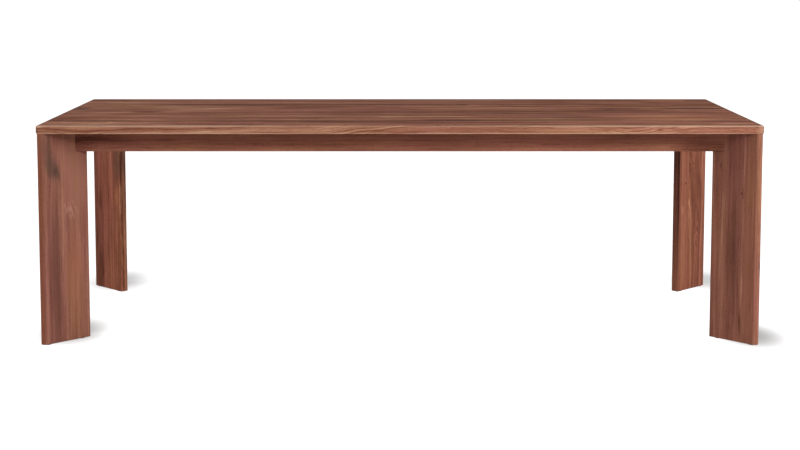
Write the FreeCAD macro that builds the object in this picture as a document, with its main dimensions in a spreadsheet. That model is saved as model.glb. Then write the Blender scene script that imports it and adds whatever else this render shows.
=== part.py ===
"""Dining table of solid walnut: a board top on four plank legs that stand across its corners.

Frame: millimetres, +Z up, +X along the table, +Y from the front to the rear.
The origin is on the floor under the centre of the top.

Each leg is a plank that lies along the corner's diagonal. Its outer tip is cut to the two sides of
the corner, and its inner end is bolted to a corner block, in the notch between two mitred aprons.
"""
import FreeCAD, Part
import math
import os

import Sketcher
from FreeCAD import Placement, Rotation, Vector

SIZES = [
    # Top
    ("top_length", 2440, "length of the top, along the boards"),
    ("board_1_width", 125, "front board"),
    ("board_2_width", 150, "second board from the front"),
    ("board_3_width", 130, "third board"),
    ("board_4_width", 140, "fourth board"),
    ("board_5_width", 125, "fifth board"),
    ("board_6_width", 115, "sixth board"),
    ("board_7_width", 107, "seventh board"),
    ("board_8_width", 108, "rear board"),
    ("top_thickness", 28, "thickness of the boards"),
    ("top_corner_radius", 10, "upright corners of the top"),
    ("top_edge_radius", 5, "rounding of the top's upper and lower edges"),
    ("top_underside_level", 722, "from the floor to the underside of the top"),
    # Legs
    ("leg_thickness", 30, "thickness of the plank"),
    ("leg_width", 190, "from the square corner that the tip is cut from to the inner end"),
    ("leg_reveal", 2.5, "from the edge of the top in to the leg's outer faces"),
    ("leg_tip_radius", 10, "upright outer corner of the leg"),
    ("leg_arris_radius", 2.5, "other upright edges of the leg"),
    ("leg_foot_chamfer", 2, "edges of the leg's foot"),
    ("front_left_seam", 94, "glue line, from the leg's outer corner"),
    ("front_right_seam_1", 78, "outer glue line"),
    ("front_right_seam_2", 130, "inner glue line"),
    ("rear_left_seam", 78, "glue line"),
    ("rear_right_seam", 128, "glue line"),
    # Glides
    ("glide_radius", 11, "felt disc glued under the foot"),
    ("glide_thickness", 2, "felt disc glued under the foot"),
    ("glide_inset", 28, "from each end of the foot to the glide's centre"),
    # Aprons
    ("apron_setback", 92.5, "from the edge of the top in to the apron's outer face"),
    ("apron_thickness", 25, "outer face to inner face"),
    ("apron_height", 70, "down from the underside of the top"),
    ("apron_outer_radius", 5, "lower outer edge"),
    ("apron_inner_radius", 2, "lower inner edge"),
    # Cross rails
    ("rail_spacing", 800, "between the centres of the two rails"),
    ("rail_thickness", 25, "along the table"),
    ("rail_height", 55, "down from the underside of the top"),
    ("rail_edge_radius", 2, "lower edges"),
    ("tenon_length", 12, "stub tenon in the long apron"),
    ("tenon_thickness", 12, "along the table"),
    ("tenon_height", 30, "stub tenon"),
    ("tenon_drop", 18, "from the underside of the top to the tenon"),
    # Corner blocks
    ("block_depth", 45, "from the end of the leg inwards"),
    ("block_height", 60, "down from the underside of the top"),
    ("block_corner_radius", 4, "the two thin upright corners"),
    ("tongue_length", 6, "into the apron"),
    ("tongue_thickness", 10, "along the apron"),
    # Hanger bolts
    ("bolt_radius", 4, "shank"),
    ("bolt_length", 100, "whole bolt"),
    ("bolt_embed", 42, "wood thread in the leg"),
    ("bolt_drop", 15, "from the underside of the top to the upper bolt"),
    ("bolt_spacing", 30, "upper bolt to lower bolt"),
    ("washer_radius", 12, "outer radius"),
    ("washer_thickness", 2, "washer"),
    ("nut_across_flats", 13, "hexagon nut"),
    ("nut_height", 6.5, "hexagon nut"),
    # Clips that hold the top down and let the boards swell
    ("groove_drop", 10, "from the underside of the top to the clip groove"),
    ("groove_height", 3, "clip groove"),
    ("groove_depth", 10, "clip groove"),
    ("clip_width", 20, "along the apron or rail"),
    ("clip_thickness", 2, "steel strip"),
    ("clip_tongue", 8, "length in the groove"),
    ("clip_stand_off", 2, "from the wood's face to the strip's upright"),
    ("clip_reach", 20, "flat under the top"),
    ("long_apron_clip_pitch", 750, "between the clips on each long apron"),
    ("clip_screw_radius", 2, "shank"),
    ("clip_screw_length", 16, "shank in the top"),
    ("clip_screw_head_radius", 4, "flat head"),
    ("clip_screw_head_height", 2.5, "flat head"),
    # Fits
    ("thread_clearance", 0.1, "round a thread that is held in wood or steel"),
    ("bore_clearance", 0.5, "round a shank that passes through"),
    ("end_clearance", 1, "past the end of a tenon or tongue"),
    ("pilot_overrun", 2, "past the end of a screw or bolt"),
]

DIAGONAL = math.sqrt(0.5)      # X and Y share of a length along a corner's diagonal
FLAT_TO_POINT = math.tan(math.pi / 6)     # half side of a hexagon over half its width across flats
UP = Vector(0, 0, 1)
DOWN = Vector(0, 0, -1)
TOLERANCE = 1e-5

# In the sketcher's own order, with nothing at its number 0. The origin is on the first axis.
SKETCH_POINTS = (None, "start", "end", "centre")
SKETCH_AXES = (None, "horizontal", "vertical")

CORNERS = {                    # sign of X, sign of Y and the turn that points a leg's +X inwards
    "front_left": (-1, -1, 45),
    "front_right": (1, -1, 135),
    "rear_right": (1, 1, 225),
    "rear_left": (-1, 1, 315),
}


class Size:
    """A length that carries its value and the expression that binds it to the sheet."""

    def __init__(self, value, text):
        self.value = float(value)
        self.text = text

    @staticmethod
    def of(length):
        return length if isinstance(length, Size) else Size(length, repr(float(length)))

    def __add__(self, other):
        other = Size.of(other)
        return Size(self.value + other.value, f"({self.text} + {other.text})")

    def __sub__(self, other):
        other = Size.of(other)
        return Size(self.value - other.value, f"({self.text} - {other.text})")

    def __mul__(self, number):
        return Size(self.value * number, f"({self.text} * {float(number)!r})")

    def __truediv__(self, number):
        return Size(self.value / number, f"({self.text} / {float(number)!r})")

    def __neg__(self):
        return Size(-self.value, f"(-1 * {self.text})")

    __radd__ = __add__
    __rmul__ = __mul__


class Sheet:
    """The spreadsheet of driving dimensions: every alias reads as an attribute that is a Size."""

    def __init__(self, document, rows):
        self.cells = document.addObject("Spreadsheet::Sheet", "Sizes")
        for number, (alias, value, meaning) in enumerate(rows, start=1):
            self.cells.set(f"A{number}", str(value))
            self.cells.setAlias(f"A{number}", alias)
            self.cells.set(f"B{number}", meaning)
            setattr(self, alias, Size(value, f"Sizes.{alias}"))
        document.recompute()


doc = FreeCAD.newDocument("DiningTable")
S = Sheet(doc, SIZES)
nodes = []

BOARD_WIDTHS = [getattr(S, alias) for alias, value, meaning in SIZES if alias.startswith("board_")]
top_width = sum(BOARD_WIDTHS[1:], BOARD_WIDTHS[0])
half_length = S.top_length / 2
half_width = top_width / 2
under = S.top_underside_level
leg_half = S.leg_thickness / 2
inner_setback = S.apron_setback + S.apron_thickness
# Along an apron, from the end of the table to where the line of the leg's end meets the inner face
block_front = (S.leg_reveal + S.leg_width * DIAGONAL) * 2 - inner_setback


# ---------------------------------------------------------------------------------------------
# Drawing and placing
# ---------------------------------------------------------------------------------------------

def bind(item, path, size):
    """Tie a property to the sheet."""
    item.setExpression(path, Size.of(size).text)


def place(item, x=0, y=0, z=0, turn=Rotation()):
    """Turn an object about its own origin and put that origin at x, y, z."""
    item.Placement = Placement(Vector(), turn)
    for path, size in (("x", x), ("y", y), ("z", z)):
        bind(item, f"Placement.Base.{path}", size)
    return item


def about_z(degrees):
    return Rotation(UP, degrees)


def new_body(label):
    body = doc.addObject("PartDesign::Body", label)
    body.Label = label
    return body


def origin_plane(body, role):
    return next(item for item in body.Origin.OriginFeatures if item.Role == role)


def point_of(item, name):
    """A side or circle and one of its points, as a sketch's constraints take them."""
    return item, SKETCH_POINTS.index(name)


def axis_of_sketch(name):
    """One of a sketch's own axes, which it numbers downwards."""
    return -SKETCH_AXES.index(name)


def hold(sketch, item, direction, size, point="start"):
    """Hold a point of a side or circle at its distance from the sketch's origin along X or Y."""
    size = Size.of(size)
    held = point_of(item, point)
    if size.value == 0:
        crossed = axis_of_sketch("vertical" if direction == "X" else "horizontal")
        sketch.addConstraint(Sketcher.Constraint("PointOnObject", *held, crossed))
        return
    origin = point_of(axis_of_sketch("horizontal"), "start")
    number = sketch.addConstraint(
        Sketcher.Constraint("Distance" + direction, *origin, *held, size.value))
    sketch.setExpression(f"Constraints[{number}]", size.text)


def outline(body, name, role, corners):
    """Sketch a closed outline of straight sides on one of the body's origin planes."""
    sketch = body.newObject("Sketcher::SketchObject", name)
    sketch.AttachmentSupport = (origin_plane(body, role), [""])
    sketch.MapMode = "FlatFace"
    points = [Vector(Size.of(x).value, Size.of(y).value, 0) for x, y in corners]
    for start, end in zip(points, points[1:] + points[:1]):
        sketch.addGeometry(Part.LineSegment(start, end), False)
    for side in range(len(points)):
        following = (side + 1) % len(points)
        sketch.addConstraint(Sketcher.Constraint(
            "Coincident", *point_of(side, "end"), *point_of(following, "start")))
    for side, (x, y) in enumerate(corners):
        hold(sketch, side, "X", x)
        hold(sketch, side, "Y", y)
    return sketch


def circle(body, name, x, y, radius):
    """Sketch a circle on the body's XY plane."""
    sketch = body.newObject("Sketcher::SketchObject", name)
    sketch.AttachmentSupport = (origin_plane(body, "XY_Plane"), [""])
    sketch.MapMode = "FlatFace"
    centre = Vector(Size.of(x).value, Size.of(y).value, 0)
    ring = sketch.addGeometry(Part.Circle(centre, UP, radius.value), False)
    hold(sketch, ring, "X", x, "centre")
    hold(sketch, ring, "Y", y, "centre")
    number = sketch.addConstraint(Sketcher.Constraint("Radius", ring, radius.value))
    sketch.setExpression(f"Constraints[{number}]", radius.text)
    return sketch


def rectangle(left, bottom, right, top):
    return [(left, bottom), (right, bottom), (right, top), (left, top)]


def pad(body, sketch, length, symmetric=False):
    feature = body.newObject("PartDesign::Pad", sketch.Name + "_pad")
    feature.Profile = sketch
    feature.SideType = "Symmetric" if symmetric else "One side"
    bind(feature, "Length", length)
    doc.recompute()
    return feature


def pocket_through(body, sketch):
    """Cut an outline right through the body, both ways from its plane."""
    before = body.Shape.Volume
    feature = body.newObject("PartDesign::Pocket", sketch.Name + "_pocket")
    feature.Profile = sketch
    feature.Type = "ThroughAll"
    feature.SideType = "Symmetric"
    doc.recompute()
    if body.Shape.Volume >= before:
        raise RuntimeError(f"{sketch.Name} cuts nothing")
    return feature


def ease_edges(body, kind, name, size, chosen):
    """Fillet or chamfer every edge of the body for which chosen(edge) is true."""
    base = body.Tip
    names = [f"Edge{number}" for number, edge in enumerate(base.Shape.Edges, start=1) if chosen(edge)]
    if not names:
        raise RuntimeError(f"{name} finds no edge")
    feature = body.newObject(f"PartDesign::{kind}", name)
    feature.Base = (base, names)
    bind(feature, {"Fillet": "Radius", "Chamfer": "Size"}[kind], size)
    doc.recompute()
    return feature


def round_edges(body, name, radius, chosen):
    return ease_edges(body, "Fillet", name, radius, chosen)


def chamfer_edges(body, name, size, chosen):
    return ease_edges(body, "Chamfer", name, size, chosen)


def at(number, size):
    return abs(number - Size.of(size).value) < TOLERANCE


def lies_at(edge, axis, size):
    """True if the whole edge has one X, Y or Z, and it is this size."""
    box = edge.BoundBox
    low, high = getattr(box, axis + "Min"), getattr(box, axis + "Max")
    return at(low, size) and at(high, size)


def is_upright(edge):
    box = edge.BoundBox
    return box.XLength < TOLERANCE and box.YLength < TOLERANCE


def turned(label, profile):
    """A body turned about its own Z from corners that are given as radius and height."""
    body = new_body(label)
    sketch = outline(body, label + "_profile", "XZ_Plane", profile)
    feature = body.newObject("PartDesign::Revolution", label + "_turning")
    feature.Profile = sketch
    feature.ReferenceAxis = (sketch, ["V_Axis"])
    feature.Angle = 360
    doc.recompute()
    return body


def rod(label, radius, length):
    """A plain cylinder that stands on its origin."""
    cylinder = doc.addObject("Part::Cylinder", label)
    bind(cylinder, "Radius", radius)
    bind(cylinder, "Height", length)
    doc.recompute()
    return cylinder


def copies(label, master, places):
    """One solid for each place, all copies of the master body, in one object."""
    links = []
    for number, (x, y, z, turn) in enumerate(places, start=1):
        link = doc.addObject("App::Link", f"{label}_{number}")
        link.LinkedObject = master
        links.append(place(link, x, y, z, turn))
    group = doc.addObject("Part::Compound", label)
    group.Label = label
    group.Links = links
    return group


def node(item, label=None):
    """Keep an object as a piece of the table, under the name that its file gets."""
    if label:
        item.Label = label
    nodes.append(item)
    return item


def cut_out(label, body, *cutters):
    """Keep the body with all of these cutters taken out of it."""
    cut = body
    for number, cutter in enumerate(cutters, start=1):
        smaller = doc.addObject("Part::Cut", f"{label}_cut_{number}")
        smaller.Base = cut
        smaller.Tool = cutter
        cut = smaller
    return node(cut, label)


# ---------------------------------------------------------------------------------------------
# Places that several pieces share
# ---------------------------------------------------------------------------------------------

def on_diagonal(sign_x, sign_y, distance):
    """X and Y of a point on a corner's diagonal, from the leg's square outer corner inwards."""
    inwards = S.leg_reveal + distance * DIAGONAL
    return (half_length - inwards) * sign_x, (half_width - inwards) * sign_y


def pair_below_top(drop, spacing):
    return under - drop, under - drop - spacing


def leg_bolt_places(distance):
    """Two places in each corner, one above the other, that face inwards along the diagonal."""
    for sign_x, sign_y, turn in CORNERS.values():
        x, y = on_diagonal(sign_x, sign_y, distance)
        inwards = Rotation(UP, Vector(-sign_x, -sign_y, 0))
        for z in pair_below_top(S.bolt_drop, S.bolt_spacing):
            yield x, y, z, inwards


def tongue_places():
    """Where the middle of each block's tongues meets the inner face of a long or an end apron."""
    along = block_front + S.block_depth * DIAGONAL
    z = under - S.apron_height - S.end_clearance
    for sign_x, sign_y, turn in CORNERS.values():
        yield ((half_length - along) * sign_x, (half_width - inner_setback) * sign_y, z,
               about_z(90 * sign_y))
        yield ((half_length - inner_setback) * sign_x, (half_width - along) * sign_y, z,
               about_z(90 - 90 * sign_x))


def glide_places():
    """Two glides under each foot, at the same distance from either end."""
    for sign_x, sign_y, turn in CORNERS.values():
        for distance in (S.glide_inset, S.leg_width - S.glide_inset):
            x, y = on_diagonal(sign_x, sign_y, distance)
            yield x, y, 0, Rotation()


def tenon_places():
    """Where the lower edge of each tenon meets the inner face of a long apron."""
    z = under - S.tenon_drop - S.tenon_height
    for sign_x in (-1, 1):
        for sign_y in (-1, 1):
            yield (S.rail_spacing / 2 * sign_x, (half_width - inner_setback) * sign_y, z,
                   about_z(90 * sign_y))


def clip_sites():
    """Where each clip leaves the wood, and the turn that points its flat inwards."""
    for steps in (-1, 0, 1):
        x = S.long_apron_clip_pitch * steps
        yield x, inner_setback - half_width, 0
        yield x, half_width - inner_setback, 180
    for face in (half_length - inner_setback, (S.rail_spacing - S.rail_thickness) / 2):
        yield -face, 0, -90
        yield face, 0, 90


def clip_places():
    for x, y, degrees in clip_sites():
        yield x, y, under, about_z(degrees)


def clip_screw_places():
    out = S.clip_stand_off + S.clip_thickness + S.clip_reach / 2
    for x, y, degrees in clip_sites():
        inwards = about_z(degrees).multVec(Vector(0, 1, 0))
        tip = under + S.clip_screw_length
        yield x + out * round(inwards.x), y + out * round(inwards.y), tip, Rotation(UP, DOWN)


# ---------------------------------------------------------------------------------------------
# Cutters: each is one bore or slot, copied to every place
# ---------------------------------------------------------------------------------------------

def drills(label, places, *steps):
    """Round cutters whose steps are the radius and the two heights of each length of the bore."""
    profile = [(0, steps[0][1])]
    for radius, low, high in steps:
        profile += [(radius, low), (radius, high)]
    profile.append((0, steps[-1][2]))
    return copies(label, turned(label + "_cutter", profile), places)


def slots(label, places, depth, width, height):
    """Square cutters that stand on their places and sink into the wood along their own +X."""
    body = new_body(label + "_cutter")
    plan = rectangle(-S.pilot_overrun, -(width / 2), depth, width / 2)
    pad(body, outline(body, label + "_plan", "XY_Plane", plan), height)
    return copies(label, body, places)


hanger_bores = drills(
    "hanger_bores",
    leg_bolt_places(S.leg_width - S.bolt_embed),
    (S.bolt_radius + S.thread_clearance, -S.pilot_overrun, S.bolt_embed),
    (S.bolt_radius + S.bore_clearance, S.bolt_embed, S.bolt_embed + S.block_depth + S.pilot_overrun))

clip_screw_bores = drills(
    "clip_screw_bores",
    clip_screw_places(),
    (S.clip_screw_radius + S.thread_clearance, -S.pilot_overrun,
     S.clip_screw_length + S.pilot_overrun))

tongue_slots = slots(
    "tongue_slots", tongue_places(), S.tongue_length + S.end_clearance, S.tongue_thickness,
    S.apron_height + S.end_clearance * 2)

mortises = slots(
    "mortises", tenon_places(), S.tenon_length + S.end_clearance, S.tenon_thickness, S.tenon_height)


# ---------------------------------------------------------------------------------------------
# Top
# ---------------------------------------------------------------------------------------------

def board(number, front_edge):
    """One board. Its ends are rounded, and so is the long edge that the table shows."""
    label = f"top_board_{number}"
    width = BOARD_WIDTHS[number - 1]
    glued = [y for y, outermost in ((0, 1), (width, len(BOARD_WIDTHS))) if number != outermost]
    body = new_body(label + "_blank")
    sketch = outline(body, label + "_plan", "XY_Plane",
                     rectangle(-half_length, 0, half_length, width))
    pad(body, sketch, S.top_thickness)

    def at_shown_corner(edge):
        return is_upright(edge) and not any(lies_at(edge, "Y", y) for y in glued)

    def at_shown_arris(edge):
        level = lies_at(edge, "Z", 0) or lies_at(edge, "Z", S.top_thickness)
        return level and not any(lies_at(edge, "Y", y) for y in glued)

    if len(glued) == 1:
        round_edges(body, label + "_corners", S.top_corner_radius, at_shown_corner)
    round_edges(body, label + "_arrises", S.top_edge_radius, at_shown_arris)
    place(body, y=front_edge, z=under)
    cut_out(label, body, clip_screw_bores)


def build_top():
    front_edge = -half_width
    for number, width in enumerate(BOARD_WIDTHS, start=1):
        board(number, front_edge)
        front_edge = front_edge + width


# ---------------------------------------------------------------------------------------------
# Legs
# ---------------------------------------------------------------------------------------------

def stave(label, corner, start, end):
    """An upright stave of a leg, from one glue line or end to the next along the diagonal."""
    sign_x, sign_y, turn = CORNERS[corner]
    is_outer = start is None
    is_inner = end is None
    body = new_body(label + "_blank")
    if is_outer:
        shape = [(0, 0), (leg_half, -leg_half), (end, -leg_half), (end, leg_half), (leg_half, leg_half)]
    else:
        shape = rectangle(start, -leg_half, S.leg_width if is_inner else end, leg_half)
    pad(body, outline(body, label + "_plan", "XY_Plane", shape), under - S.glide_thickness)

    if is_outer:
        round_edges(body, label + "_tip", S.leg_tip_radius,
                    lambda edge: is_upright(edge) and lies_at(edge, "X", 0))
        round_edges(body, label + "_arrises", S.leg_arris_radius,
                    lambda edge: is_upright(edge) and lies_at(edge, "X", leg_half))
    if is_inner:
        round_edges(body, label + "_arrises", S.leg_arris_radius,
                    lambda edge: is_upright(edge) and lies_at(edge, "X", S.leg_width))
    seams = [seam for seam in (start, end) if seam is not None]
    chamfer_edges(body, label + "_foot", S.leg_foot_chamfer,
                  lambda edge: lies_at(edge, "Z", 0) and not any(lies_at(edge, "X", s) for s in seams))

    x, y = on_diagonal(sign_x, sign_y, 0)
    place(body, x, y, S.glide_thickness, about_z(turn))
    if is_inner:
        cut_out(label, body, hanger_bores)
    else:
        node(body, label)


def build_leg(corner, *seams):
    """A leg glued up from staves: the outer one has the tip, the inner one takes the bolts."""
    names = {2: ("outer", "inner"), 3: ("outer", "middle", "inner")}[len(seams) + 1]
    starts = (None,) + seams
    ends = seams + (None,)
    for name, start, end in zip(names, starts, ends):
        stave(f"{corner}_leg_{name}_stave", corner, start, end)


# ---------------------------------------------------------------------------------------------
# Aprons, cross rails and corner blocks
# ---------------------------------------------------------------------------------------------

def bar(label, outer_half, inner_half, thickness, height, outer_radius, inner_radius):
    """A rail on edge with its outer face at Y 0 and a clip groove along its inner face."""
    body = new_body(label + "_blank")
    plan = [(-outer_half, 0), (outer_half, 0), (inner_half, thickness), (-inner_half, thickness)]
    pad(body, outline(body, label + "_plan", "XY_Plane", plan), height)
    groove_top = height - S.groove_drop
    groove = rectangle(thickness - S.groove_depth, groove_top - S.groove_height,
                       thickness + S.groove_depth, groove_top)
    pocket_through(body, outline(body, label + "_groove", "YZ_Plane", groove))
    for side, y, radius in (("outer", 0, outer_radius), ("inner", thickness, inner_radius)):
        round_edges(body, f"{label}_{side}_edge", radius,
                    lambda edge: lies_at(edge, "Z", 0) and lies_at(edge, "Y", y))
    return body


def build_aprons():
    """Four aprons whose ends are mitred to lie on the wide faces of the legs."""
    mitre = S.apron_setback + S.leg_thickness * DIAGONAL
    sides = (
        ("front_apron", half_length, (0, S.apron_setback - half_width), 0),
        ("rear_apron", half_length, (0, half_width - S.apron_setback), 180),
        ("left_apron", half_width, (S.apron_setback - half_length, 0), -90),
        ("right_apron", half_width, (half_length - S.apron_setback, 0), 90),
    )
    for label, half_run, (x, y), degrees in sides:
        outer_half = half_run - mitre
        body = bar(label, outer_half, outer_half - S.apron_thickness, S.apron_thickness,
                   S.apron_height, S.apron_outer_radius, S.apron_inner_radius)
        place(body, x, y, under - S.apron_height, about_z(degrees))
        cut_out(label, body, tongue_slots, mortises)


def build_cross_rails():
    """Two rails tenoned into the long aprons, with their grooved faces towards each other."""
    outer_face = (S.rail_spacing + S.rail_thickness) / 2
    shoulder = (S.rail_thickness - S.tenon_thickness) / 2
    tenon_top = S.rail_height - S.tenon_drop
    tenon = rectangle(shoulder, tenon_top - S.tenon_height, shoulder + S.tenon_thickness, tenon_top)
    for label, x, degrees in (("left_cross_rail", -outer_face, -90), ("right_cross_rail", outer_face, 90)):
        half_run = half_width - inner_setback
        body = bar(label, half_run, half_run, S.rail_thickness, S.rail_height,
                   S.rail_edge_radius, S.rail_edge_radius)
        pad(body, outline(body, label + "_tenons", "YZ_Plane", tenon),
            (half_run + S.tenon_length) * 2, symmetric=True)
        place(body, x, 0, under - S.rail_height, about_z(degrees))
        node(body, label)


def build_corner_blocks():
    """A block in each corner is tongued into two aprons and lies flat on the end of the leg."""
    inner_corner = (inner_setback - S.leg_reveal) / DIAGONAL
    front = S.leg_width
    back = S.leg_width + S.block_depth

    def on_apron(along, out=0):
        """A point from the apron's inner face outwards, at this distance along the diagonal."""
        return along - out * DIAGONAL, along - inner_corner + out * DIAGONAL

    tongue_half = S.tongue_thickness * DIAGONAL / 2
    tongue_front = front + S.block_depth / 2 - tongue_half
    tongue_back = front + S.block_depth / 2 + tongue_half
    side = [on_apron(front), on_apron(tongue_front), on_apron(tongue_front, S.tongue_length),
            on_apron(tongue_back, S.tongue_length), on_apron(tongue_back), on_apron(back)]
    plan = [(x, -y) for x, y in side] + side[::-1]
    for corner, (sign_x, sign_y, turn) in CORNERS.items():
        label = f"{corner}_corner_block"
        body = new_body(label + "_blank")
        pad(body, outline(body, label + "_plan", "XY_Plane", plan), S.block_height)
        round_edges(body, label + "_corners", S.block_corner_radius,
                    lambda edge: is_upright(edge) and lies_at(edge, "X", back))
        x, y = on_diagonal(sign_x, sign_y, 0)
        place(body, x, y, under - S.block_height, about_z(turn))
        cut_out(label, body, hanger_bores)


# ---------------------------------------------------------------------------------------------
# Fasteners, clips and glides: one master of each, copied to its places; shanks have no thread
# ---------------------------------------------------------------------------------------------

def screw(label, radius, length, head_radius, head_height):
    """A screw that stands on the end of its shank, with a flat head on top."""
    top = length + head_height
    return turned(label, [
        (0, 0), (radius, 0), (radius, length), (head_radius, length), (head_radius, top), (0, top)])


def build_leg_bolts():
    bolt = rod("hanger_bolt_master", S.bolt_radius, S.bolt_length)
    node(copies("hanger_bolts", bolt, leg_bolt_places(S.leg_width - S.bolt_embed)))

    block_back = S.leg_width + S.block_depth

    washer_bore = S.bolt_radius + S.bore_clearance
    washer = turned("washer_master", rectangle(washer_bore, 0, S.washer_radius, S.washer_thickness))
    node(copies("hanger_bolt_washers", washer, leg_bolt_places(block_back)))

    nut = new_body("nut_master")
    flat = S.nut_across_flats / 2
    half_side = flat * FLAT_TO_POINT
    point = half_side * 2
    hexagon = [(flat, -half_side), (flat, half_side), (0, point),
               (-flat, half_side), (-flat, -half_side), (0, -point)]
    pad(nut, outline(nut, "nut_hexagon", "XY_Plane", hexagon), S.nut_height)
    thread = circle(nut, "nut_thread", 0, 0, S.bolt_radius + S.thread_clearance)
    pocket_through(nut, thread)
    node(copies("hanger_bolt_nuts", nut, leg_bolt_places(block_back + S.washer_thickness)))


def build_clips():
    """Z-shaped steel strips: a tongue in the groove, an upright and a flat under the top."""
    master = new_body("clip_master")
    flat_start = S.clip_stand_off + S.clip_thickness
    flat_end = flat_start + S.clip_reach
    tongue_under = -(S.groove_drop + S.clip_thickness)
    section = [
        (-S.clip_tongue, tongue_under), (flat_start, tongue_under),
        (flat_start, -S.clip_thickness), (flat_end, -S.clip_thickness),
        (flat_end, 0), (S.clip_stand_off, 0),
        (S.clip_stand_off, -S.groove_drop), (-S.clip_tongue, -S.groove_drop)]
    pad(master, outline(master, "clip_section", "YZ_Plane", section), S.clip_width, symmetric=True)
    hole = circle(master, "clip_hole", 0, flat_start + S.clip_reach / 2,
                  S.clip_screw_radius + S.bore_clearance)
    pocket_through(master, hole)
    node(copies("top_clips", master, clip_places()))

    screw_master = screw("clip_screw_master", S.clip_screw_radius,
                         S.clip_screw_length + S.clip_thickness,
                         S.clip_screw_head_radius, S.clip_screw_head_height)
    node(copies("top_clip_screws", screw_master, clip_screw_places()))


def build_glides():
    """Felt discs under the feet; the table stands on them."""
    master = rod("glide_master", S.glide_radius, S.glide_thickness)
    node(copies("leg_glides", master, glide_places()))


# ---------------------------------------------------------------------------------------------
# Build, check and write
# ---------------------------------------------------------------------------------------------

def check(document, pieces):
    """Stop before anything is written if a feature failed or a piece isn't a sound solid."""
    document.recompute()
    for item in document.Objects:
        if "Invalid" in item.State or "Error" in item.State:
            raise RuntimeError(f"{item.Name} failed: {item.State}")
    for piece in pieces:
        shape = piece.Shape
        if shape.isNull() or not shape.isValid() or not shape.Solids:
            raise RuntimeError(f"{piece.Label} isn't a sound solid")


def write(pieces):
    os.makedirs("parts", exist_ok=True)
    for piece in pieces:
        piece.Shape.exportStep(f"parts/{piece.Label}.step")
        print(f"{piece.Label}: {len(piece.Shape.Solids)} solid(s), {piece.Shape.Volume:.0f} mm3")


build_top()
build_leg("front_left", S.front_left_seam)
build_leg("front_right", S.front_right_seam_1, S.front_right_seam_2)
build_leg("rear_left", S.rear_left_seam)
build_leg("rear_right", S.rear_right_seam)
build_aprons()
build_cross_rails()
build_corner_blocks()
build_leg_bolts()
build_clips()
build_glides()
check(doc, nodes)
write(nodes)
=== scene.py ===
"""Looks of the walnut dining table: its materials, its small fittings and the studio round it.

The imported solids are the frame. Units are metres, +X along the table, +Y from the front to the
rear and +Z up, with the origin on the floor under the centre of the top.
"""
import math

import bpy
from mathutils import Matrix, Vector


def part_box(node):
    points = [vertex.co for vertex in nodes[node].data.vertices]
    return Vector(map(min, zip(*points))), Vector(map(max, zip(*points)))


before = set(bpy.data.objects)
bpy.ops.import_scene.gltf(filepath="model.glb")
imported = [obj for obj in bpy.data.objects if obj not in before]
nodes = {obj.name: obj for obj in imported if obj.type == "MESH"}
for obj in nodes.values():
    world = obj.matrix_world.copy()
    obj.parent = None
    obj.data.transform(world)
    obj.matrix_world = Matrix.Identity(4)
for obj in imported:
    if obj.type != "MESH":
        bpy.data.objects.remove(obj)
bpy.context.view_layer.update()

TOP_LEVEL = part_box("top_board_1")[1].z
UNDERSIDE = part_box("top_board_1")[0].z
HALF_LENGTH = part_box("top_board_1")[1].x
HALF_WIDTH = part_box("top_board_8")[1].y
LEG_WIDTH = 0.190
LEG_REVEAL = 0.0025            # from the edge of the top in to the leg's outer faces
APRON_FACE = -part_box("front_apron")[0].y
END_APRON_FACE = -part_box("left_apron")[0].x
RAIL_PLACE = 0.4               # from the middle of the table to the middle of a cross rail

# Across the face of each leg: sign of X, sign of Y and the turn that points inwards from its tip
LEGS = {
    "front_left": (-1, -1, 45),
    "front_right": (1, -1, 135),
    "rear_right": (1, 1, 225),
    "rear_left": (-1, 1, 315),
}


# ---------------------------------------------------------------------------------------------
# Shader helpers
# ---------------------------------------------------------------------------------------------

def linear(hex_colour):
    """An sRGB hex colour as the linear RGBA that a socket takes."""
    channels = [int(hex_colour[i:i + 2], 16) / 255 for i in (1, 3, 5)]
    return [c / 12.92 if c <= 0.04045 else ((c + 0.055) / 1.055) ** 2.4 for c in channels] + [1.0]


def add(tree, kind, inputs=None, **settings):
    """Add one shader node. Each input takes a value, or another node's output to be linked to."""
    node = tree.nodes.new("ShaderNode" + kind)
    for name, value in settings.items():
        setattr(node, name, value)
    for socket, value in (inputs or {}).items():
        if isinstance(value, bpy.types.NodeSocket):
            tree.links.new(value, node.inputs[socket])
        else:
            node.inputs[socket].default_value = value
    return node


def new_material(name):
    """An empty material and its tree."""
    material = bpy.data.materials.new(name)
    material.use_nodes = True
    material.node_tree.nodes.clear()
    return material, material.node_tree


# ---------------------------------------------------------------------------------------------
# American black walnut, planed, sanded and oiled. The eye gets brown heartwood between plum and
# orange, arched growth rings on the wide faces, rings end on at the cut ends, short dark pores
# along the grain and a low satin gloss.
# ---------------------------------------------------------------------------------------------

RING_WIDTH = 0.0046            # a walnut trunk grows 3 to 6 mm a year
FIBRE_WIDTH = 0.0012           # bundles of fibres, drawn three times their width so that they show
PORE_WIDTH = 0.00045           # pores are 0.2 mm wide and are drawn at twice that

WALNUT_SHADES = ((0.00, "#29150F"), (0.22, "#512F23"), (0.42, "#784A3C"), (0.58, "#8C5A4A"),
                 (0.78, "#A8735D"), (1.00, "#CDA288"))
TOP_SHADES = ((0.00, "#29130B"), (0.22, "#512B1A"), (0.42, "#784632"), (0.58, "#8C5A47"),
              (0.78, "#A8745C"), (1.00, "#CDA487"))
ROSY_CAST = (1.055, 0.945, 1.16, 1.0)
OLIVE_CAST = (0.955, 1.055, 0.80, 1.0)

MARK_TONES = {"dark": -0.45, "pale": 0.40}
MARK_COLOURS = {
    "plum": "#4C2C28",
    # painted shade, for a face turned from the light
    "painted_shade": "#442621",
    "smoke": "#4A3C34",
    "olive": "#6B4F39",
    "rust": "#7C4630",
    "rosy": "#996558",
    "orange": "#A06548",
    # painted highlight, for the sheen on a rounded arris
    "painted_highlight": "#CFAE97",
}


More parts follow.
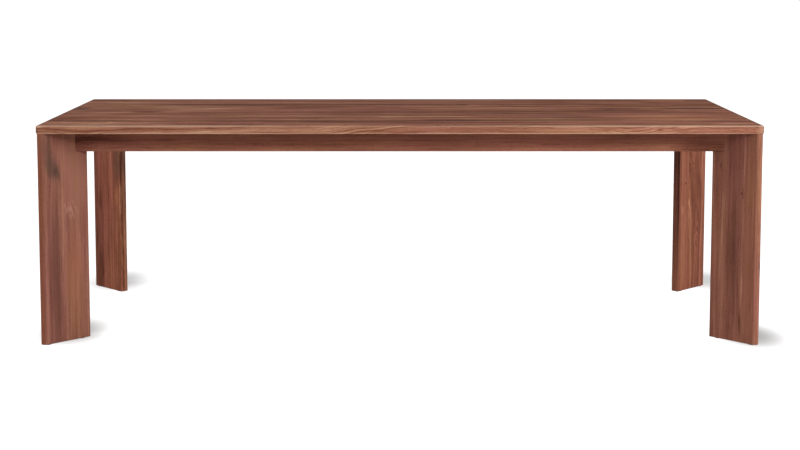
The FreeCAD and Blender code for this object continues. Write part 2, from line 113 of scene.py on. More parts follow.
def walnut_figure():
    """Node group with the figure of solid walnut at a point of a piece.

    Point is in the piece's own frame, with the grain along X. Trunk is the same point in the frame
    of the trunk that the piece was sawn from, with the heart along X. Banding is how much the
    colour changes from year to year, Wild how much it changes from place to place, and Stray how
    crooked the trunk was.
    """
    group = bpy.data.node_groups.new("walnut_figure", "ShaderNodeTree")
    for name, kind in (("Point", "Vector"), ("Trunk", "Vector"), ("Seed", "Float"),
                       ("Banding", "Float"), ("Wild", "Float"), ("Stray", "Float")):
        group.interface.new_socket(name, in_out="INPUT", socket_type="NodeSocket" + kind)
    for name, kind in (("Tone", "Float"), ("Cast", "Color"), ("Height", "Float"),
                       ("Strayed", "Vector")):
        group.interface.new_socket(name, in_out="OUTPUT", socket_type="NodeSocket" + kind)
    given = group.nodes.new("NodeGroupInput")
    result = group.nodes.new("NodeGroupOutput")
    place = add(group, "VectorMath", {0: given.outputs["Point"], 1: given.outputs["Seed"]},
                operation="ADD").outputs[0]

    def noise(cells, detail, roughness=0.5):
        """Noise with so many cells to the metre along X, Y and Z."""
        stretched = add(group, "VectorMath", {0: place, 1: cells}, operation="MULTIPLY")
        return add(group, "TexNoise", {"Vector": stretched.outputs[0], "Scale": 1.0,
                                       "Detail": detail, "Roughness": roughness}).outputs

    def ring_noise(rings, scale, detail):
        """Noise that depends on the year alone."""
        year = add(group, "Math", {0: rings, 1: scale, 2: given.outputs["Seed"]},
                   operation="MULTIPLY_ADD")
        return add(group, "TexNoise", {"W": year.outputs[0], "Scale": 1.0, "Detail": detail,
                                       "Roughness": 0.7}, noise_dimensions="1D").outputs[0]

    def around_zero(value, half_range):
        """Noise turned from 0.25 to 0.75 into a range round zero."""
        return add(group, "MapRange", {"Value": value, "From Min": 0.25, "From Max": 0.75,
                                       "To Min": -half_range, "To Max": half_range},
                   clamp=False).outputs[0]

    def weighted_sum(*terms):
        total = None
        for value, weight in terms:
            inputs = {0: value, 1: weight, 2: total if total else 0.0}
            total = add(group, "Math", inputs, operation="MULTIPLY_ADD").outputs[0]
        return total

    # The grain strays: in long waves, and in short ones round small defects
    bent = given.outputs["Trunk"]
    for cells, stray in (((1.5, 6.0, 6.0), 0.040), ((7.0, 40.0, 40.0), 0.005)):
        wave = add(group, "VectorMath", {0: noise(cells, 2.0)[1], 1: (0.5, 0.5, 0.5)},
                   operation="SUBTRACT")
        wave = add(group, "VectorMath", {0: wave.outputs[0], "Scale": given.outputs["Stray"]},
                   operation="SCALE")
        bent = add(group, "VectorMath", {0: wave.outputs[0], 1: (0.0, stray, stray), 2: bent},
                   operation="MULTIPLY_ADD").outputs[0]

    # Growth rings round the heart, uneven in width, with a dark line where each summer ends
    across = add(group, "VectorMath", {0: bent, 1: (0.0, 1.0, 1.0)}, operation="MULTIPLY")
    radius = add(group, "VectorMath", {0: across.outputs[0]}, operation="LENGTH")
    rings = add(group, "Math", {0: radius.outputs["Value"], 1: 1.0 / RING_WIDTH},
                operation="MULTIPLY").outputs[0]
    uneven = weighted_sum((ring_noise(rings, 0.31, 3.0), 2.5), (rings, 1.0))
    year = add(group, "Math", {0: uneven}, operation="FRACT")
    late = add(group, "MapRange", {"Value": year.outputs[0], "From Min": 0.45, "From Max": 0.92},
               interpolation_type="SMOOTHSTEP").outputs[0]
    bands = around_zero(ring_noise(rings, 0.17, 4.0), 0.24)
    growth = weighted_sum((late, -0.12), (bands, 1.0))

    # Fine streaks and fibres along the grain, and patches where minerals have coloured the wood
    streaks = around_zero(noise((1.6, 95.0, 95.0), 3.0, 0.65)[0], 0.08)
    fibres = around_zero(noise((12.0, 0.5 / FIBRE_WIDTH, 0.5 / FIBRE_WIDTH), 3.0, 0.6)[0], 0.08)
    patches = around_zero(noise((2.6, 16.0, 16.0), 5.0, 0.68)[0], 0.22)
    dashes = add(group, "MapRange", {"Value": noise((9.0, 80.0, 80.0), 2.0)[0], "From Min": 0.60,
                                     "From Max": 0.72}).outputs[0]
    veins = add(group, "MapRange", {"Value": noise((1.5, 30.0, 30.0), 2.0)[0], "From Min": 0.58,
                                    "From Max": 0.68}).outputs[0]
    wild = weighted_sum((patches, 1.0), (dashes, -0.20), (veins, -0.22))

    # Pores, most of them in the spring wood
    pores = add(group, "MapRange", {
        "Value": noise((70.0, 0.5 / PORE_WIDTH, 0.5 / PORE_WIDTH), 1.0)[0],
        "From Min": 0.60, "From Max": 0.70}).outputs[0]
    spring = add(group, "Math", {0: 1.15, 1: late}, operation="SUBTRACT").outputs[0]
    pores = add(group, "Math", {0: pores, 1: spring}, operation="MULTIPLY").outputs[0]

    tone = weighted_sum((growth, given.outputs["Banding"]), (wild, given.outputs["Wild"]),
                        (streaks, 1.0), (fibres, 1.0), (pores, -0.22))
    minerals = add(group, "MapRange", {"Value": noise((2.2, 14.0, 14.0), 4.0, 0.65)[0],
                                       "From Min": 0.3, "From Max": 0.7}).outputs[0]
    cast = add(group, "Mix", {"Factor": minerals, 6: ROSY_CAST, 7: OLIVE_CAST}, data_type="RGBA")
    height = weighted_sum((pores, -1.0), (fibres, 1.0))
    # Marks in the face have fibrous edges
    frayed = add(group, "CombineXYZ", {"X": weighted_sum((fibres, 0.30), (patches, 0.10)),
                                       "Y": weighted_sum((streaks, 0.05), (patches, 0.02))})
    strayed = add(group, "VectorMath", {0: frayed.outputs[0], 1: given.outputs["Point"]},
                  operation="ADD")
    for name, socket in (("Tone", tone), ("Cast", cast.outputs[2]), ("Height", height),
                         ("Strayed", strayed.outputs[0])):
        group.links.new(socket, result.inputs[name])
    return group


FIGURE = walnut_figure()


def own_frame(grain, across, origin):
    """What a Mapping node needs to put a point into a piece's frame: its location and rotation."""
    grain, across = Vector(grain), Vector(across)
    rows = Matrix((grain, across, grain.cross(across)))
    return -(rows @ Vector(origin)), rows.to_euler()


def distance_from(tree, point, centre, halves, degrees=0.0):
    """Distance from the middle of an ellipsoid, where 1 is its skin."""
    near = add(tree, "Mapping", {"Vector": point, "Location": centre, "Scale": halves,
                                 "Rotation": (0.0, 0.0, math.radians(degrees))},
               vector_type="TEXTURE")
    return add(tree, "VectorMath", {0: near.outputs[0]}, operation="LENGTH").outputs["Value"]


MIDDLE_TONE = 0.56             # of a piece whose shade is 0
THROUGH = 1.0e3                # half thickness of a mark that goes right through its piece
MARK_CORE = 0.3                # share of the way to a mark's edge that has its full strength
KNOT_REACH = (7.0, 4.0)        # how far a knot parts the grain along and across, in its own sizes
KNOT_PULL = 0.75               # share of the way to a knot's middle, for the figure beside it
KNOT_CORE = (0.5, 1.05, 0.85)  # a knot's dark wood: where it starts and stops to fade, strength
KNOT_LENGTH = 1.4              # of that dark wood along the grain, in the knot's own sizes
ROUGHNESS = (0.78, 0.68)       # of the darkest and of the palest wood
OILED_SPECULAR = 0.05          # low, because the oil has sunk in and left no film
RELIEF = 0.0002                # depth of the pores and fibres


def walnut(name, piece, seed, heart, shade=0.0, slope=0.0, tint=(1.0, 1.0, 1.0), banding=1.0,
           wild=1.0, stray=1.0, casting=0.6, knots=(), marks=(), shades=WALNUT_SHADES):
    """Oiled walnut for one piece.

    piece is its grain, its width and its origin. heart is how far the trunk's heart lay from that
    origin, across the face and behind it, and slope is the grain's angle to the piece in degrees.
    A knot is its place along and across the grain and its size. A mark is its colour, place along
    and across, half length, half width, turn in degrees, strength and, for a mark that doesn't go
    through, its height and half thickness. casting is how much red and green the figure has.
    """
    material, tree = new_material("oiled_walnut_" + name)
    place, turn = own_frame(*piece)
    point = add(tree, "Mapping", {"Vector": add(tree, "TexCoord").outputs["Object"],
                                  "Location": place, "Rotation": turn}).outputs[0]
    stains_and_painted_light = []
    for along, across, size in knots:
        # The grain parts round a knot: near it, the figure is drawn as if closer to its middle
        centre = (along, across, 0.0)
        reach = (size * KNOT_REACH[0], size * KNOT_REACH[1], THROUGH)
        near = distance_from(tree, point, centre, reach)
        pull = add(tree, "MapRange", {"Value": near, "From Min": 0.15, "From Max": 1.0,
                                      "To Min": KNOT_PULL, "To Max": 0.0},
                   interpolation_type="SMOOTHSTEP")
        core = distance_from(tree, point, centre, (size * KNOT_LENGTH, size, THROUGH))
        stains_and_painted_light.append((core, *KNOT_CORE, "plum"))
        offset = add(tree, "VectorMath", {0: point, 1: centre}, operation="SUBTRACT")
        offset = add(tree, "VectorMath", {0: offset.outputs[0], "Scale": pull.outputs[0]},
                     operation="SCALE")
        point = add(tree, "VectorMath", {0: point, 1: offset.outputs[0]},
                    operation="SUBTRACT").outputs[0]

    trunk = add(tree, "Mapping", {"Vector": point, "Location": (0.0, -heart[0], -heart[1]),
                                  "Rotation": (0.0, math.radians(slope), 0.0)})
    figure = add(tree, "Group", node_tree=FIGURE)
    for socket, value in (("Point", point), ("Trunk", trunk.outputs[0])):
        tree.links.new(value, figure.inputs[socket])
    for socket, value in (("Seed", seed), ("Banding", banding), ("Wild", wild), ("Stray", stray)):
        figure.inputs[socket].default_value = value

    # Marks: pale and dark ones change the tone, and the others mix in their own colour: real
    # stains, and some painted highlight and painted shade
    tone = add(tree, "Math", {0: figure.outputs["Tone"], 1: MIDDLE_TONE + shade},
               operation="ADD").outputs[0]
    for kind, along, across, half_along, half_across, degrees, strength, *layer in marks:
        height, half_height = layer or (0.0, THROUGH)
        near = distance_from(tree, figure.outputs["Strayed"], (along, across, height),
                             (half_along, half_across, half_height), degrees)
        if kind in MARK_COLOURS:
            stains_and_painted_light.append((near, MARK_CORE, 1.0, strength, kind))
            continue
        change = add(tree, "MapRange", {"Value": near, "From Min": MARK_CORE, "From Max": 1.0,
                                        "To Min": strength * MARK_TONES[kind], "To Max": 0.0},
                     interpolation_type="SMOOTHSTEP")
        tone = add(tree, "Math", {0: tone, 1: change.outputs[0]}, operation="ADD").outputs[0]
    ramp = add(tree, "ValToRGB", {0: tone})
    while len(ramp.color_ramp.elements) < len(shades):
        ramp.color_ramp.elements.new(1.0)
    for stop, (position, hex_colour) in zip(ramp.color_ramp.elements, shades):
        stop.position = position
        stop.color = [c * t for c, t in zip(linear(hex_colour), tint)] + [1.0]
    colour = ramp.outputs[0]
    for near, inner, outer, strength, kind in stains_and_painted_light:
        share = add(tree, "MapRange", {"Value": near, "From Min": inner, "From Max": outer,
                                       "To Min": strength, "To Max": 0.0},
                    interpolation_type="SMOOTHSTEP")
        colour = add(tree, "Mix", {"Factor": share.outputs[0], 6: colour,
                                   7: linear(MARK_COLOURS[kind])}, data_type="RGBA").outputs[2]
    colour = add(tree, "Mix", {"Factor": casting, 6: colour, 7: figure.outputs["Cast"]},
                 data_type="RGBA", blend_type="MULTIPLY").outputs[2]

    rough = add(tree, "MapRange", {"Value": figure.outputs["Tone"],
                                   "From Min": -0.5, "From Max": 0.5,
                                   "To Min": ROUGHNESS[0], "To Max": ROUGHNESS[1]})
    relief = add(tree, "Bump", {"Height": figure.outputs["Height"], "Strength": 0.35,
                                "Distance": RELIEF})
    surface = add(tree, "BsdfPrincipled", {"Base Color": colour, "Roughness": rough.outputs[0],
                                           "Specular IOR Level": OILED_SPECULAR,
                                           "Normal": relief.outputs[0]})
    add(tree, "OutputMaterial", {"Surface": surface.outputs[0]})
    return material


def dress(node, material):
    """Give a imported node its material."""
    for slot in nodes[node].material_slots:
        slot.material = material


# Each board of the top as it was sawn, from the front to the rear
TOP = ((1, 0, 0), (0, 1, 0), (0, 0, TOP_LEVEL))
BOARDS = (
    dict(seed=1.7, heart=(-0.49, -0.08), slope=1.2, shade=0.07, banding=1.5, wild=0.6, stray=4.0,
         tint=(1.01, 0.99, 0.99), casting=0.35,
         # Painted highlight along the rounded front arris of the top: the painted_highlight marks
         # and the two narrow pale marks after them
         marks=(("painted_highlight", -0.85, -0.50, 0.80, 0.028, 0, 0.50, 0.0, 0.006),
                ("painted_highlight", 0.90, -0.50, 0.95, 0.028, 0, 0.50, 0.0, 0.006),
                ("painted_highlight", 0.0, -0.50, 0.8, 0.020, 0, 0.20, 0.0, 0.006),
                ("pale", -0.85, -0.50, 0.70, 0.009, 0, 0.40),
                ("pale", 0.95, -0.50, 0.70, 0.009, 0, 0.15),
                ("pale", 0.80, -0.505, 0.70, 0.020, 0, 0.20),
                ("pale", 0.15, -0.505, 1.10, 0.020, 0, 0.25),
                # Painted light on the lower front arris, which faces down and lies in shade
                ("pale", 0.0, -0.50, 2.4, 0.010, 0, 0.9, -0.028, 0.007),
                ("pale", 1.13, -0.42, 0.09, 0.03, 0, 0.5),
                # Painted highlights on the rounded front corners of the top
                ("pale", 1.206, -0.50, 0.006, 0.014, 0, 1.2),
                ("pale", -1.205, -0.50, 0.016, 0.012, 0, 1.0, 0.0, 0.01),
                ("dark", 0.05, -0.395, 0.75, 0.035, 0, 0.45),
                ("pale", -1.00, -0.43, 0.30, 0.04, 0, 0.35))),
    dict(seed=4.1, heart=(-0.30, 0.09), slope=-0.8, shade=-0.01, tint=(1.0, 1.0, 0.99), wild=1.2,
         marks=(("dark", -0.12, -0.330, 0.80, 0.036, 0, 0.75),
                ("dark", -0.10, -0.352, 0.50, 0.026, 0, 0.45),
                ("pale", -1.00, -0.27, 0.25, 0.05, 0, 0.4),
                ("olive", 0.54, -0.30, 0.18, 0.06, 0, 0.5),
                ("plum", 1.12, -0.365, 0.16, 0.024, 0, 1.0),
                ("pale", 0.95, -0.28, 0.30, 0.03, 0, 0.35),
                ("orange", 0.95, -0.26, 0.25, 0.05, 0, 0.5))),
    dict(seed=7.9, heart=(-0.20, -0.06), slope=1.6, shade=0.06, wild=1.2,
         marks=(("pale", -0.51, -0.18, 0.15, 0.030, 0, 0.6),
                ("pale", 0.07, -0.19, 0.25, 0.030, 0, 0.7),
                ("dark", -0.10, -0.118, 0.60, 0.020, 0, 0.6),
                ("olive", 0.54, -0.16, 0.18, 0.06, 0, 0.4),
                ("pale", 0.95, -0.16, 0.30, 0.03, 0, 0.35),
                ("orange", 0.95, -0.18, 0.28, 0.05, 0, 0.5))),
    dict(seed=12.3, heart=(0.02, -0.10), slope=-1.3, shade=0.01, tint=(1.0, 0.99, 1.01), wild=1.2,
         marks=(("plum", 0.33, -0.035, 0.50, 0.040, 0, 0.25),
                ("pale", -1.05, -0.06, 0.16, 0.03, 0, 0.6),
                ("dark", -0.92, -0.024, 0.08, 0.022, 0, 1.2),
                ("pale", 1.06, 0.022, 0.16, 0.022, 0, 0.9))),
    dict(seed=16.6, heart=(0.12, 0.08), slope=0.9, shade=0.09, tint=(1.0, 1.0, 0.97), wild=1.2,
         knots=((0.776, 0.064, 0.020), (-0.92, 0.10, 0.010), (-0.74, 0.13, 0.008)),
         marks=(("pale", 0.30, 0.105, 0.40, 0.055, 0, 0.45),
                ("pale", -0.70, 0.090, 0.30, 0.040, 0, 0.40),
                ("dark", 0.80, 0.080, 0.10, 0.03, 0, 0.5),
                ("dark", 1.10, 0.115, 0.18, 0.034, 0, 1.3),
                ("plum", -1.19, 0.105, 0.06, 0.06, 0, 0.8))),
    dict(seed=21.2, heart=(0.24, -0.12), slope=-1.0, shade=0.03, tint=(1.0, 1.0, 0.99), wild=1.1,
         knots=((-1.05, 0.22, 0.008),),
         marks=(("dark", -0.22, 0.268, 0.95, 0.024, 0, 0.65),
                ("plum", -0.83, 0.272, 0.14, 0.026, 0, 0.9),
                ("dark", 0.236, 0.268, 0.028, 0.026, 0, 1.2),
                ("dark", -0.32, 0.180, 0.18, 0.020, 0, 0.6),
                ("dark", 0.44, 0.180, 0.18, 0.020, 0, 0.6),
                ("pale", -0.85, 0.20, 0.30, 0.03, 2, 0.5))),
    dict(seed=25.4, heart=(0.35, 0.07), slope=1.1, shade=0.04, tint=(1.0, 1.0, 0.99),
         marks=(("pale", -0.35, 0.335, 0.45, 0.030, 0, 0.45),
                ("rosy", 0.845, 0.31, 0.15, 0.05, 0, 0.5))),
    dict(seed=30.8, heart=(0.42, -0.05), slope=-1.4, shade=0.01, tint=(1.0, 0.99, 1.01),
         marks=(("rosy", -0.16, 0.45, 0.75, 0.05, 0, 0.35),
                ("dark", 0.0, 0.47, 0.9, 0.03, 0, 0.3),
                ("orange", 1.05, 0.43, 0.15, 0.05, 0, 0.6),
                ("plum", 1.17, 0.41, 0.07, 0.035, 0, 0.9))),
)
# Dark ends of every board: end grain, and painted shade in a dark outline along the ends
END_GRAIN_AND_SHADE = tuple(("dark", end * HALF_LENGTH, 0.0, 0.007, 3.0, 0, 0.9) for end in (-1, 1))
for number, cut in enumerate(BOARDS, start=1):
    cut["marks"] += END_GRAIN_AND_SHADE
    name = f"top_board_{number}"
    dress(name, walnut(name, TOP, shades=TOP_SHADES, **{"casting": 1.0, **cut}))


def leg_frame(corner):
    """Grain down the leg, width from its square outer corner inwards."""
    sign_x, sign_y, degrees = LEGS[corner]
    turn = math.radians(degrees)
    outer = ((HALF_LENGTH - LEG_REVEAL) * sign_x, (HALF_WIDTH - LEG_REVEAL) * sign_y, UNDERSIDE)
    return (0, 0, -1), (math.cos(turn), math.sin(turn), 0), outer


# Each stave of the legs. Places are down from the top of the leg and in from its tip.
STAVES = {
    "front_left_leg_outer_stave": dict(
        seed=34.5, heart=(-0.25, -0.05), slope=0.5, shade=0.04, banding=0.5, wild=0.4,
        tint=(1.0, 1.0, 1.06),
        marks=(("rust", 0.36, 0.000, 1.4, 0.020, 0, 0.7),
               ("pale", 0.45, 0.023, 0.40, 0.009, 0, 0.06),
               ("plum", 0.50, 0.057, 0.40, 0.032, 0, 0.45),
               ("pale", 0.32, 0.089, 0.26, 0.007, 0, 0.30),
               ("rosy", 0.10, 0.085, 0.09, 0.025, 0, 0.50),
               ("smoke", 0.065, 0.034, 0.080, 0.030, 8, 0.42),
               ("smoke", 0.120, 0.050, 0.060, 0.038, 15, 0.50),
               ("smoke", 0.136, 0.062, 0.036, 0.024, 25, 0.40),
               ("dark", 0.130, 0.066, 0.022, 0.012, 30, 0.45))),
    "front_left_leg_inner_stave": dict(
        seed=38.1, heart=(0.45, 0.05), slope=-0.6, shade=0.10, banding=0.5, wild=0.4,
        tint=(1.0, 1.0, 1.04),
        marks=(("rosy", 0.13, 0.145, 0.20, 0.075, 0, 0.80),
               ("plum", 0.030, 0.110, 0.045, 0.03, 0, 0.15),
               ("pale", 0.262, 0.105, 0.052, 0.0046, 27, 0.6),
               ("pale", 0.262, 0.119, 0.052, 0.0046, 27, 0.6),
               ("pale", 0.252, 0.132, 0.042, 0.0040, 27, 0.45),
               ("orange", 0.50, 0.13, 0.25, 0.05, 0, 0.35))),
    "front_right_leg_outer_stave": dict(
        seed=43.7, heart=(-0.30, 0.06), slope=0.5, banding=0.5, wild=0.4,
        knots=((0.207, 0.069, 0.004),),
        marks=(("orange", 0.36, 0.038, 0.50, 0.024, 0, 0.25),
               ("pale", 0.09, 0.060, 0.12, 0.006, 0, 0.45),
               ("pale", 0.53, 0.066, 0.08, 0.005, 0, 0.45),
               ("dark", 0.66, 0.070, 0.07, 0.005, 0, 0.55),
               # Painted highlight on the rounded tip of the leg, and painted shade in a dark line
               # along its outer edge
               ("pale", 0.35, 0.000, 1.40, 0.020, 0, 0.5),
               ("dark", 0.35, 0.000, 1.40, 0.0032, 0, 1.6))),
    "front_right_leg_middle_stave": dict(
        seed=47.2, heart=(0.50, 0.08), slope=-0.4, shade=-0.02, banding=0.5, wild=0.4,
        tint=(0.99, 0.96, 1.0),
        marks=(("plum", 0.42, 0.097, 0.32, 0.020, 0, 0.35),)),
    "front_right_leg_inner_stave": dict(
        seed=52.9, heart=(0.40, -0.07), slope=1.0, shade=0.01, banding=0.6, wild=0.4,
        marks=(("pale", 0.36, 0.148, 0.25, 0.007, 3, 0.25),
               ("orange", 0.36, 0.170, 0.20, 0.018, 2, 0.30),
               ("dark", 0.12, 0.154, 0.006, 0.005, 0, 0.6))),
    "rear_left_leg_outer_stave": dict(
        seed=57.3, heart=(-0.20, 0.10), slope=0.6, shade=-0.09, banding=0.4, wild=0.5,
        tint=(1.02, 0.88, 0.82),
        marks=(("dark", 0.37, 0.055, 0.06, 0.012, 0, 0.3),
               ("dark", 0.66, 0.052, 0.16, 0.032, 0, 0.3),
               ("plum", 0.40, 0.020, 0.60, 0.040, 0, 0.25))),
    "rear_left_leg_inner_stave": dict(
        seed=61.8, heart=(0.40, -0.09), slope=-0.8, shade=-0.05, banding=0.4, wild=0.5,
        tint=(1.05, 0.92, 0.83), knots=((0.445, 0.095, 0.004),),
        marks=(("smoke", 0.20, 0.176, 0.110, 0.046, 0, 0.50),
               ("pale", 0.50, 0.165, 0.08, 0.006, 0, 0.40),
               ("orange", 0.34, 0.165, 0.06, 0.02, 0, 0.50),
               # Painted light on the end face of the leg, which lies in shade under the table
               ("pale", 0.36, 0.192, 1.4, 0.005, 0, 0.9))),
    "rear_right_leg_outer_stave": dict(
        seed=66.4, heart=(0.075, -0.04), slope=2.4, shade=0.03, banding=1.25, wild=0.25, stray=3.8,
        tint=(1.06, 0.98, 0.89), casting=0.25,
        marks=(("pale", 0.268, 0.043, 0.02, 0.006, 0, 0.25),)),
    "rear_right_leg_inner_stave": dict(
        seed=70.9, heart=(0.40, 0.10), slope=-0.6, shade=0.05, banding=0.4, wild=0.3,
        tint=(1.06, 0.98, 0.89), casting=0.25, knots=((0.294, 0.146, 0.005),),
        marks=(("pale", 0.39, 0.165, 0.02, 0.018, 0, 0.3),
               # Painted shade on the end face of the leg, which is turned from the light
               ("painted_shade", 0.20, 0.195, 0.75, 0.0125, 0, 0.95))),
}
for name, cut in STAVES.items():
    dress(name, walnut(name, leg_frame(name.split("_leg_")[0]), **cut))

BARS = {
    "front_apron": (((1, 0, 0), (0, 0, 1), (0, -APRON_FACE, UNDERSIDE)), dict(
        seed=75.5, heart=(0.30, -0.10), slope=0.3, shade=0.055, banding=0.5, wild=0.5,
        tint=(1.05, 0.99, 0.95),
        # Painted shadow: the left end in the shadow of the left leg, the lower right end in the
        # shade of the right leg
        marks=(("dark", 1.06, -0.06, 0.16, 0.04, 0, 0.65),
               ("dark", -1.05, -0.010, 0.20, 0.045, 0, 0.30),
               ("dark", -1.12, -0.060, 0.12, 0.040, 0, 0.35)))),
    "rear_apron": (((1, 0, 0), (0, 0, 1), (0, APRON_FACE, UNDERSIDE)), dict(
        seed=79.1, heart=(-0.06, 0.12), slope=-0.9)),
    "left_apron": (((0, 1, 0), (0, 0, 1), (-END_APRON_FACE, 0, UNDERSIDE)), dict(
        seed=83.6, heart=(0.04, -0.11), slope=1.1, shade=-0.03)),
    "right_apron": (((0, 1, 0), (0, 0, 1), (END_APRON_FACE, 0, UNDERSIDE)), dict(
        seed=88.2, heart=(-0.08, 0.10), slope=-0.8, shade=0.02)),
    "left_cross_rail": (((0, 1, 0), (0, 0, 1), (-RAIL_PLACE, 0, UNDERSIDE)), dict(
        seed=92.7, heart=(0.09, -0.13), slope=0.6, shade=0.03)),
    "right_cross_rail": (((0, 1, 0), (0, 0, 1), (RAIL_PLACE, 0, UNDERSIDE)), dict(
        seed=97.3, heart=(-0.07, 0.12), slope=-1.2)),
}
for name, (piece, cut) in BARS.items():
    dress(name, walnut(name, piece, **cut))

# The grain of each corner block runs across its corner
BLOCK_SEEDS = {"front_left": 102.1, "front_right": 106.5, "rear_right": 110.9, "rear_left": 115.3}
for corner, (_, _, degrees) in LEGS.items():
    turn = math.radians(degrees)
    name = f"{corner}_corner_block"
    piece = ((-math.sin(turn), math.cos(turn), 0), (0, 0, 1), sum(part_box(name), Vector()) / 2)
    dress(name, walnut(name, piece, seed=BLOCK_SEEDS[corner], heart=(0.06, 0.09), slope=1.0,
                       shade=0.05))


# ---------------------------------------------------------------------------------------------
# Metal and felt
# ---------------------------------------------------------------------------------------------

def zinc_steel():
    """Zinc-plated mild steel, pressed or rolled: pale, slightly blue grey with a soft gloss."""
    material, tree = new_material("zinc_plated_steel")
    coords = add(tree, "TexCoord").outputs["Object"]
    blotches = add(tree, "TexNoise", {"Vector": coords, "Scale": 260.0, "Detail": 3.0})
    colour = add(tree, "Mix", {"Factor": blotches.outputs[0], 6: linear("#A9ABAE"),
                               7: linear("#C9CACB")}, data_type="RGBA")
    rough = add(tree, "MapRange", {"Value": blotches.outputs[0], "To Min": 0.30, "To Max": 0.46})
    surface = add(tree, "BsdfPrincipled", {"Base Color": colour.outputs[2], "Metallic": 1.0,
                                           "Roughness": rough.outputs[0]})
    add(tree, "OutputMaterial", {"Surface": surface.outputs[0]})
    return material


def wool_felt():
    """Pressed wool felt, dark brown: matted fibres that scatter the light."""
    material, tree = new_material("pressed_wool_felt")
    coords = add(tree, "TexCoord").outputs["Object"]
    fibres = add(tree, "TexNoise", {"Vector": coords, "Scale": 2400.0, "Detail": 3.0})
    colour = add(tree, "Mix", {"Factor": fibres.outputs[0], 6: linear("#2E221C"),
                               7: linear("#5A463A")}, data_type="RGBA")
    relief = add(tree, "Bump", {"Height": fibres.outputs[0], "Strength": 0.6, "Distance": 0.0003})
    surface = add(tree, "BsdfPrincipled", {"Base Color": colour.outputs[2], "Roughness": 0.95,
                                           "Specular IOR Level": 0.2, "Sheen Weight": 0.3,
                                           "Normal": relief.outputs[0]})
    add(tree, "OutputMaterial", {"Surface": surface.outputs[0]})
    return material


STEEL = zinc_steel()
for name in ("hanger_bolts", "hanger_bolt_washers", "hanger_bolt_nuts", "top_clips",
             "top_clip_screws"):
    dress(name, STEEL)
dress("leg_glides", wool_felt())


# ---------------------------------------------------------------------------------------------
# Studio: white floor and surround, lamps and camera
# ---------------------------------------------------------------------------------------------

def seen_directly(tree):
    """1 for the rays that show the studio itself: to the camera, in gloss and through glass."""
    rays = add(tree, "LightPath")
    seen = add(tree, "Math", {0: rays.outputs["Is Camera Ray"], 1: rays.outputs["Is Glossy Ray"]},
               operation="MAXIMUM")
    return add(tree, "Math", {0: seen.outputs[0], 1: rays.outputs["Is Transmission Ray"]},
               operation="MAXIMUM").outputs[0]


FLOOR_SIZE = 80.0
FLOOR_WHITE = (0.8, 0.35)      # of the paint: as it lights the table, and as it is seen
SURROUND = (0.12, 1.0)         # strength of what is round it, the same way

# The painted soft shadow of each foot, which dims the floor's glow: how far its middle lies to the
# right
# # of the foot's and behind it, and the share of the light that is left there
FOOT_SHADE = (0.169, 0.285)    # half its width and half its depth
FOOT_SHADES = {
    "front_left": (0.004, 0.150, 0.23),
    "front_right": (0.072, 0.080, 0.23),
    "rear_right": (0.092, 0.165, 0.43),
    "rear_left": (0.002, 0.150, 0.43),
}


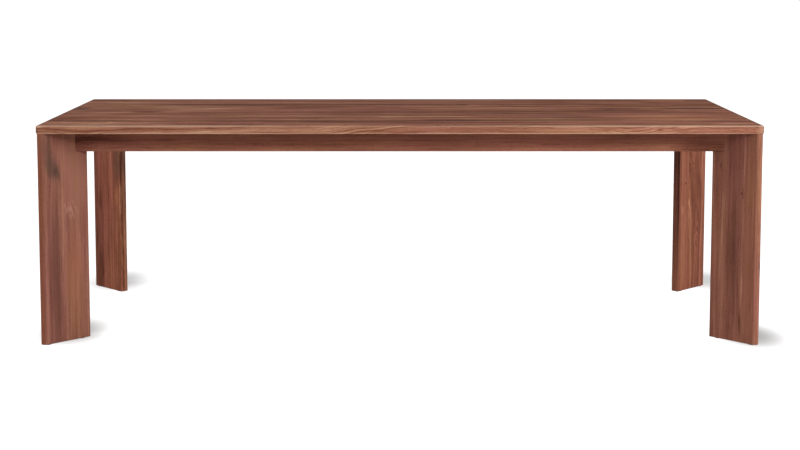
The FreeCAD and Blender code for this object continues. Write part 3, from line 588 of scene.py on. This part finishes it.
def build_floor():
    """A white floor. It glows where the studio is seen, but less in the painted soft shadow of
    each foot, and from beneath it can be seen through."""
    bpy.ops.object.select_all(action="DESELECT")
    bpy.ops.mesh.primitive_plane_add(size=FLOOR_SIZE)
    floor = bpy.context.object
    floor.name = "studio_floor"
    material, tree = new_material("white_floor")
    seen = seen_directly(tree)
    white = add(tree, "MapRange", {"Value": seen, "To Min": FLOOR_WHITE[0],
                                   "To Max": FLOOR_WHITE[1]})
    paint = add(tree, "BsdfDiffuse", {"Color": white.outputs[0]})
    coords = add(tree, "TexCoord").outputs["Object"]
    glow = seen
    # Painted shadow: the glow is dimmed in a soft ellipse behind each foot
    for corner, (right, back, left_over) in FOOT_SHADES.items():
        _, inwards, tip = leg_frame(corner)
        foot = Vector(tip) + Vector(inwards) * LEG_WIDTH / 2
        middle = (foot.x + right, foot.y + back, 0.0)
        near = distance_from(tree, coords, middle, (*FOOT_SHADE, THROUGH))
        share = add(tree, "MapRange", {"Value": near, "From Min": 0.15, "From Max": 1.0,
                                       "To Min": left_over, "To Max": 1.0},
                    interpolation_type="SMOOTHSTEP")
        glow = add(tree, "Math", {0: glow, 1: share.outputs[0]}, operation="MULTIPLY").outputs[0]
    glow = add(tree, "Emission", {"Color": (1.0, 1.0, 1.0, 1.0), "Strength": glow})
    both = add(tree, "AddShader", {0: paint.outputs[0], 1: glow.outputs[0]})
    beneath = add(tree, "NewGeometry").outputs["Backfacing"]
    surface = add(tree, "MixShader", {0: beneath, 1: both.outputs[0],
                                      2: add(tree, "BsdfTransparent").outputs[0]})
    add(tree, "OutputMaterial", {"Surface": surface.outputs[0]})
    floor.data.materials.append(material)


def build_world():
    world = bpy.data.worlds.new("studio")
    bpy.context.scene.world = world
    world.use_nodes = True
    tree = world.node_tree
    tree.nodes.clear()
    strength = add(tree, "MapRange", {"Value": seen_directly(tree), "To Min": SURROUND[0],
                                      "To Max": SURROUND[1]})
    white = add(tree, "Background", {"Color": (1.0, 1.0, 1.0, 1.0),
                                     "Strength": strength.outputs[0]})
    add(tree, "OutputWorld", {"Surface": white.outputs[0]})


def lamp(name, place, size, power, target=(0.0, 0.0, 0.4)):
    light = bpy.data.lights.new(name, "AREA")
    light.shape = "RECTANGLE"
    light.size, light.size_y = size
    light.energy = power
    holder = bpy.data.objects.new(name, light)
    bpy.context.scene.collection.objects.link(holder)
    holder.location = place
    holder.rotation_euler = (Vector(target) - Vector(place)).to_track_quat("-Z", "Y").to_euler()


def build_camera():
    """A camera in front of the table, tilted down a little and shifted down for the rest."""
    camera = bpy.data.cameras.new("camera")
    camera.sensor_width = 36.0
    camera.lens = 70.2245
    camera.shift_x = 0.00204
    camera.shift_y = -0.14375
    holder = bpy.data.objects.new("camera", camera)
    bpy.context.scene.collection.objects.link(holder)
    holder.location = (-0.0051, -5.6880, 1.30775)
    holder.rotation_euler = (math.radians(84.4464), 0.0, 0.0)
    bpy.context.scene.camera = holder


build_floor()
build_world()
lamp("key", (3.45, -2.90, 3.55), (1.6, 1.6), 130)
lamp("low_key", (3.30, -3.90, 2.46), (0.9, 0.9), 100)
lamp("left", (-2.96, -4.23, 2.28), (0.7, 0.7), 28)
lamp("fill", (-4.60, -0.98, 2.20), (1.0, 3.0), 110)
for side, x in (("left", -3.70), ("right", 3.70)):
    lamp(f"rear_{side}", (x, 4.00, 0.50), (1.2, 0.5), 60, target=(0.0, 0.4, 0.36))
bpy.context.scene.view_settings.view_transform = "Standard"
build_camera()
